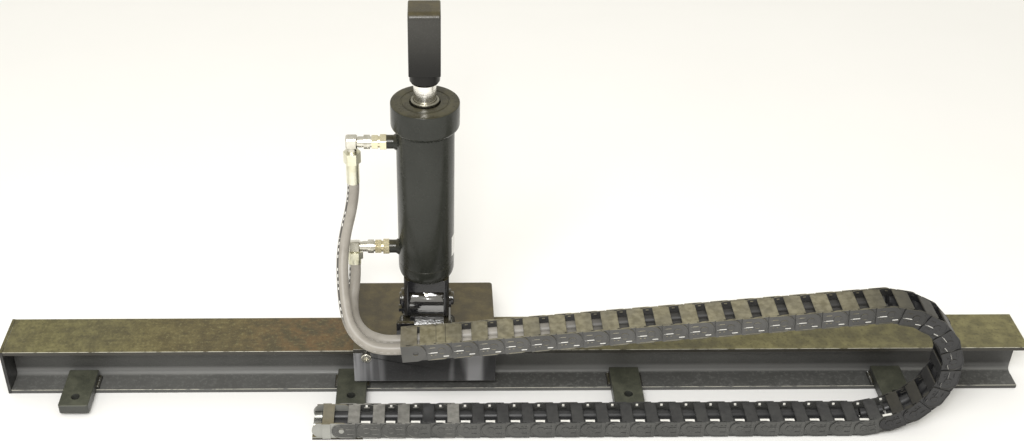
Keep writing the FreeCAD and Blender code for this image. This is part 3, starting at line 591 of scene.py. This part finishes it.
# ================================================================ cable chain
# A link's own frame: u along the link from its first hinge, v across the chain, w up, all in mm.
PITCH, HALF_H = 47.0, 18.5
CHAIN_Y, CHAIN_Z0, CHAIN_H1_X = -156.0, 20.8, 825.0
LOW_TURN, TOP_TURN, MID_TURN = 14.8, 17.2, 20.27
N_LOWER, N_MID, N_UPPER = 21, 6, 18
Y_IN, Y_MID, Y_OUT, GAP = 25.0, 27.0, 29.0, 0.15
SEAM = (20.4, 26.6)                               # where the inner and the outer plate overlap
STOP_GLINT_LOOK, LEDGE_HIGHLIGHT_LOOK, END_LID_LOOK = 1, 2, 3     # material indices of a link; 0 is its own nylon
LEDGES = ((7.5, 25.0, 2.2, 4.6), (-12.5, -2.0, 11.8, 14.2), (10.0, 13.5, 7.6, 9.4), (17.5, 21.0, 7.6, 9.4),
          (10.5, 24.5, -9.5, -7.6))               # u0, u1, w0, w1 of each; the first two carry a painted highlight


def prism(bm, outline, v0, v1):
    """A flat (u, w) outline made solid from v0 to v1."""
    a = [bm.verts.new((u * MM, v0 * MM, w * MM)) for u, w in outline]
    b = [bm.verts.new((u * MM, v1 * MM, w * MM)) for u, w in outline]
    n = len(outline)
    faces = [bm.faces.new(a), bm.faces.new(b[::-1])]
    for k in range(n):
        bm.faces.new((a[k], b[k], b[(k + 1) % n], a[(k + 1) % n]))
    return faces


def slab(bm, u0, u1, v0, v1, w0, w1):
    return prism(bm, [(u0, w0), (u1, w0), (u1, w1), (u0, w1)], v0, v1)


def arc(cu, cw, r, a0, a1, n):
    return [(cu + r * math.cos(math.radians(a0 + (a1 - a0) * k / n)),
             cw + r * math.sin(math.radians(a0 + (a1 - a0) * k / n))) for k in range(n + 1)]


def recess(bm, face, rim, wall, depth):
    """Sink a face by depth inside a flat rim."""
    bmesh.ops.recalc_face_normals(bm, faces=bm.faces[:])
    bmesh.ops.inset_region(bm, faces=[face], thickness=rim * MM, depth=0.0)
    bmesh.ops.inset_region(bm, faces=[face], thickness=wall * MM, depth=-depth * MM)


def side_plates(bm, s):
    """Outer plate with a sunk face, inner plate, the web that joins them, and a dimpled hub on the hinge."""
    outer = [(SEAM[1], -HALF_H), (SEAM[1], HALF_H)] + arc(0, 0, HALF_H, 90, 270, 18)
    faces = prism(bm, outer, s * (Y_MID + GAP), s * Y_OUT)
    recess(bm, faces[1], 1.5, 0.5, 1.1)
    inner = arc(PITCH, 0, HALF_H, -90, 90, 18) + [(SEAM[0], HALF_H), (SEAM[0], -HALF_H)]
    prism(bm, inner, s * Y_IN, s * (Y_MID - GAP))
    slab(bm, *SEAM, s * (Y_IN + 0.2), s * (Y_OUT - 0.3), -HALF_H + 0.2, HALF_H - 0.2)
    hub = prism(bm, arc(0, 0, 7.6, 0, 342, 19), s * (Y_OUT - 1.6), s * (Y_OUT - 0.05))
    recess(bm, hub[1], 2.0, 0.4, 0.8)


def ledges(bm, s):
    """Stepped ledges on the outer plate, undercut below."""
    under = (0, 4, 5, 1)
    for u0, u1, w0, w1 in LEDGES:
        v_out, v_in = s * Y_OUT, s * (Y_OUT - 1.4)
        corners = [bm.verts.new((u * MM, v * MM, w * MM)) for u, v, w in (
            (u0, v_in, w0 - 1.1), (u1, v_in, w0 - 1.1), (u1, v_in, w1), (u0, v_in, w1),
            (u0, v_out, w0), (u1, v_out, w0), (u1, v_out, w1), (u0, v_out, w1))]
        for f in ((0, 1, 2, 3), (4, 7, 6, 5), under, (1, 5, 6, 2), (2, 6, 7, 3), (3, 7, 4, 0)):
            face = bm.faces.new([corners[i] for i in f])
            if f == under and w0 > 0 and u1 - u0 > 8:
                # the undercut face of the two long ledges carries a painted highlight
                face.material_index = LEDGE_HIGHLIGHT_LOOK


def ribs_and_stops(bm, s):
    """Seam rib, foot flange along the outer edge, and the stop lugs inside the plate at the joint, coloured
    pale as painted glints.
    """
    slab(bm, 26.0, 27.4, s * (Y_OUT - 1.2), s * (Y_OUT - 0.1), -HALF_H + 1, HALF_H - 1)
    slab(bm, 28.5, 40.5, s * (Y_IN + 0.2), s * (Y_MID - GAP + 1.2), -HALF_H + 0.1, -HALF_H + 2.0)
    if s < 0:
        stop = slab(bm, 37.5, 55.0, s * (Y_IN - 6.5), s * (Y_IN + 0.1), 14.4, 17.2)
    else:
        stop = slab(bm, 44.0, 48.5, s * (Y_IN - 2.2), s * (Y_IN + 0.1), 12.8, 16.8)
        slab(bm, 41.0, 52.0, s * (Y_IN - 3.4), s * (Y_IN - 0.2), 9.0, 12.6)
    # the stop lugs take the pale look, which paints glints
    for face in {f for v in stop[0].verts for f in v.link_faces}:
        face.material_index = STOP_GLINT_LOOK
    slab(bm, 44.5, 50.0, s * (Y_IN - 2.4), s * (Y_IN + 0.1), -15.0, -12.2)


def crossbar(bm):
    """Inner bar with bevelled edges and its two end clips."""
    prism(bm, [(12.0, HALF_H - 3.0), (35.0, HALF_H - 3.0), (35.0, HALF_H - 1.0), (33.6, HALF_H),
               (13.4, HALF_H), (12.0, HALF_H - 1.0)], -Y_IN - 0.2, Y_IN + 0.2)
    for s in (-1, 1):
        slab(bm, *SEAM, s * (Y_IN - 0.6), s * (Y_IN + 0.3), -HALF_H + 3.4, HALF_H - 0.4)
        slab(bm, 15.0, 32.0, s * (Y_IN - 3.6), s * (Y_IN - 0.1), HALF_H - 4.6, HALF_H - 2.8)


def outer_lid(bm):
    """Slightly crowned plate with a tab over each side plate."""
    lid = [(8.5, -HALF_H + 3.0), (8.5, -HALF_H + 1.0), (9.8, -HALF_H + 0.1), (16.0, -HALF_H), (31.0, -HALF_H),
           (37.2, -HALF_H + 0.1), (38.5, -HALF_H + 1.0), (38.5, -HALF_H + 3.0)]
    prism(bm, lid, -Y_IN + 0.3, Y_IN - 0.3)
    for s in (-1, 1):
        slab(bm, 12.5, 34.5, s * (Y_IN - 0.5), s * (Y_IN + 1.6), -HALF_H + 0.3, -HALF_H + 2.6)


def link_mesh():
    """One link: two layered side plates, an inner crossbar, an outer lid and the small ledges and hubs."""
    bm = bmesh.new()
    for s in (-1, 1):
        side_plates(bm, s)
        ledges(bm, s)
        ribs_and_stops(bm, s)
    crossbar(bm)
    outer_lid(bm)
    bmesh.ops.recalc_face_normals(bm, faces=bm.faces[:])
    mesh = bpy.data.meshes.new("link_template")
    bm.to_mesh(mesh)
    bm.free()
    return mesh


def link_matrix(x, z, degrees):
    a = math.radians(degrees)
    return Matrix(((math.cos(a), 0, -math.sin(a), x * MM), (0, 1, 0, CHAIN_Y * MM),
                   (math.sin(a), 0, math.cos(a), z * MM), (0, 0, 0, 1)))


def step_on(x, z, degrees):
    a = math.radians(degrees)
    return x + PITCH * math.cos(a), z + PITCH * math.sin(a)


START_X = CHAIN_H1_X - N_LOWER * PITCH
lower = [(START_X + k * PITCH, CHAIN_Z0, 0.0) for k in range(N_LOWER)]
curve_links, heading, x, z = [], 0.0, CHAIN_H1_X, CHAIN_Z0
for turn in [LOW_TURN, LOW_TURN] + [MID_TURN] * N_MID + [TOP_TURN]:
    heading += turn
    curve_links.append((x, z, heading))
    x, z = step_on(x, z, heading)
heading += TOP_TURN
upper = []
for k in range(N_UPPER):
    upper.append((x, z, heading))
    x, z = step_on(x, z, heading)

TEMPLATE = link_mesh()
# piece, places of its links, body, looks of the links and of their stops, replaced nodes
GROUPS = (
    ("chain_lower_run", lower, "rail", "chain_low", "stop", ("chain_lower_links", "chain_lower_lids")),
    ("chain_first_turn", curve_links[:1], "chain_a", "chain_low", "stop", ("chain_link_a",)),
    ("chain_bend_run", curve_links[1:-1], "chain_bend", "chain_bend", "chain_bend",
     ("chain_bend_links", "chain_bend_lids")),
    ("chain_last_turn", curve_links[-1:], "chain_b", "chain_up", "stop", ("chain_link_b",)),
    ("chain_upper_run", upper, "chain_upper", "chain_up", "stop", ("chain_upper_links", "chain_upper_lids")),
)
for run_name, places, body, look, stop_look, replaced in GROUPS:
    bm = bmesh.new()
    if run_name == "chain_upper_run":
        # one more lid, over the gap nearest the moving end
        for face in slab(bm, -8.0, 8.2, -Y_IN + 0.3, Y_IN - 0.3, -HALF_H + 0.3, -HALF_H + 2.8):
            face.material_index = END_LID_LOOK
        bm.transform(link_matrix(*places[-1]))
    for place in places:
        copy = TEMPLATE.copy()
        copy.transform(link_matrix(*place))
        bm.from_mesh(copy)
        bpy.data.meshes.remove(copy)
    looks = [MAT[look], MAT[stop_look], MAT["ledge"], MAT["bracket"]]
    add_object(run_name, bm, looks, body, replaced, smooth=30.0, bevel=0.35 * MM)
bpy.data.meshes.remove(TEMPLATE)

# ================================================================ turned body of the cylinder
BORE_R, TUBE_R, COLLAR_R, WIPER_R = 40.0, 52.0, 61.0, 26.6
CAP_Z, TUBE_Z, THREAD_Z, COLLAR_Z = 262.0, (292.0, 606.0), 612.1, (573.4, 583.0, 628.0)
CAP_ROUND = (8.0, 17.0)                           # how far the end cap's edge is rounded, inwards and up
GROOVE_R, GROOVE_DEPTH = (40.0, 44.0), 1.4        # ring groove in the gland cap's top

bm = bmesh.new()
wall = [(BORE_R, TUBE_Z[0]), (TUBE_R, TUBE_Z[0]), (TUBE_R, TUBE_Z[1]), (BORE_R, TUBE_Z[1])]
lathe(bm, rounded(wall, 0.8) + wall[:1])
add_object("barrel_turned", bm, MAT["body"], "barrel", ["barrel_tube"], 30)

bm = bmesh.new()
cap_edge = [(TUBE_R - CAP_ROUND[0] * (1 - math.sin(math.radians(a))),
             CAP_Z + CAP_ROUND[1] * (1 - math.cos(math.radians(a)))) for a in range(0, 91, 6)]
lathe(bm, [(0, CAP_Z)] + cap_edge + [(TUBE_R, TUBE_Z[0] - 0.4), (TUBE_R - 0.3, TUBE_Z[0]), (0, TUBE_Z[0])])
add_object("end_cap_turned", bm, MAT["body"], "barrel", ["end_cap"], 30)

bm = bmesh.new()
thread = (TUBE_R + 0.1, THREAD_Z)
collar = [thread, (TUBE_R + 0.1, COLLAR_Z[0]), (COLLAR_R, COLLAR_Z[1]), (COLLAR_R, COLLAR_Z[2]),
          (GROOVE_R[1], COLLAR_Z[2]), (GROOVE_R[1] - 0.8, COLLAR_Z[2] - GROOVE_DEPTH),
          (GROOVE_R[0] + 0.8, COLLAR_Z[2] - GROOVE_DEPTH), (GROOVE_R[0], COLLAR_Z[2]),
          (WIPER_R, COLLAR_Z[2]), (WIPER_R, THREAD_Z)]
lathe(bm, rounded(collar, 2.8, 5) + [thread])
add_object("gland_cap_turned", bm, MAT["body"], "barrel", ["gland_cap"], 30)

# ================================================================ welds
CLIP_X = (-683.0, -148.0, 391.0, 912.0)
bm = bmesh.new()
bead(bm, round_path(0, 0, 119.5, 48.5, 35.5, 5.0), 5.2 * MM, seed=3)
add_object("lug_weld_bead", bm, MAT["weld"], "saddle", ["lug_weld"])
bm = bmesh.new()
for side in (-1, 1):
    bead(bm, path([(-31, side * 28.5, 157.0), (31, side * 28.5, 157.0)]), 5.5 * MM, seed=5 + side)
add_object("eye_weld_bead", bm, MAT["weld"], "saddle")
bm = bmesh.new()
for i, cx in enumerate(CLIP_X):
    for side in (-1, 1):
        bead(bm, path([(cx + side * 30.6, -50, 10.4), (cx + side * 30.6, -15, 10.4)]), 4.2 * MM, seed=11 + i)
add_object("clip_weld_beads", bm, MAT["weld"], "rail", ["rail_clip_welds"])

# ================================================================ finishes on the CAD pieces
LOOK = {
    "rail": ["rail_beam", "rail_end_plate"],
    "plate": ["saddle_plate"],
    "clip": ["rail_clips"],
    "skirt": ["saddle_front_skirt", "saddle_back_guide"],
    "gloss": ["saddle_keepers", "saddle_chain_arm", "base_clevis", "pin_keeper_plate", "chain_anchor_strap",
              "pin_keeper_screw", "pin_retaining_ring", "pivot_pin"],
    "lug": ["saddle_lug"],
    "body": ["port_bosses"],
    "end": ["rod_end"],
    "zinc": ["keeper_screws", "clamp_screw", "swivel_collars", "hose_elbows", "grease_nipple"],
    "cream": ["hose_ferrules", "hose_nuts"],
    "gold": ["port_adapters"],
    "chrome": ["piston_rod"],
    "wiper": ["rod_wiper"],
    "machined": ["piston", "piston_nut", "gland_head"],
    "bronze": ["pivot_bush", "rod_end_bush"],
    "seal": ["rod_seal", "gland_o_ring", "piston_seal"],
    "pad": ["saddle_wear_pads", "piston_wear_rings"],
    "end_lid": ["chain_moving_bracket"],
    "bracket": ["chain_fixed_bracket"],
    "tail": ["hose_tail_ends"],
    "hose_in": ["chain_upper_hoses"],
    "hose_shaded": ["chain_lower_hoses", "chain_link_a_hoses", "chain_bend_hoses", "chain_link_b_hoses"],
    "label": ["blank_label"],
}
EDGES = {"rail_beam": 1.2, "saddle_plate": 1.0, "rail_clips": 1.0, "saddle_front_skirt": 1.0,
         "saddle_back_guide": 0.8, "saddle_lug": 1.6, "base_clevis": 1.6, "saddle_chain_arm": 0.8,
         "pin_keeper_plate": 0.8}
for look, names in LOOK.items():
    for n in names:
        o = NODES[n]
        o.data.materials.clear()
        o.data.materials.append(MAT[look])
        if n in EDGES:
            w = o.modifiers.new("join", "WELD")
            w.merge_threshold = 0.01 * MM
            soften(o, EDGES[n] * MM, CAD_BEVEL_ANGLE)

# ================================================================ studio
FLOOR_HALF, FLOOR_DROP = 9.0, 0.0006              # the drop keeps the floor clear of the rail's underside
floor_bm = bmesh.new()
bmesh.ops.create_grid(floor_bm, x_segments=8, y_segments=8, size=FLOOR_HALF)
floor_mesh = bpy.data.meshes.new("floor")
floor_bm.to_mesh(floor_mesh)
floor_bm.free()
floor = bpy.data.objects.new("floor", floor_mesh)
floor.location.z = -FLOOR_DROP
scene.collection.objects.link(floor)
ground = Shade("floor_paint", Roughness=0.75, Specular_IOR_Level=0.2)
ground.set("Base Color", ground.mix(ground.noise(3.0), (0.88, 0.875, 0.86), (0.91, 0.905, 0.89)))
floor_mesh.materials.append(ground.m)

world = bpy.data.worlds.new("world")
world.use_nodes = True
world.node_tree.nodes["Background"].inputs[0].default_value = (1.0, 0.978, 0.905, 1.0)
world.node_tree.nodes["Background"].inputs[1].default_value = 0.85
scene.world = world


def area(name, spot, target, size, power, colour=(1.0, 1.0, 1.0)):
    light = bpy.data.lights.new(name, "AREA")
    light.shape, light.size, light.size_y = "RECTANGLE", size[0], size[1]
    light.energy, light.color = power, colour
    o = bpy.data.objects.new(name, light)
    o.location = spot
    o.rotation_euler = (Vector(target) - Vector(spot)).to_track_quat("-Z", "Y").to_euler()
    scene.collection.objects.link(o)


area("key", (-0.6, -2.4, 3.2), (0.1, 0.0, 0.2), (1.6, 1.0), 85.0)
area("front", (-0.12, -2.0, 2.05), (0.1, 0.0, 0.3), (0.30, 0.22), 22.0, (1.0, 0.99, 0.97))
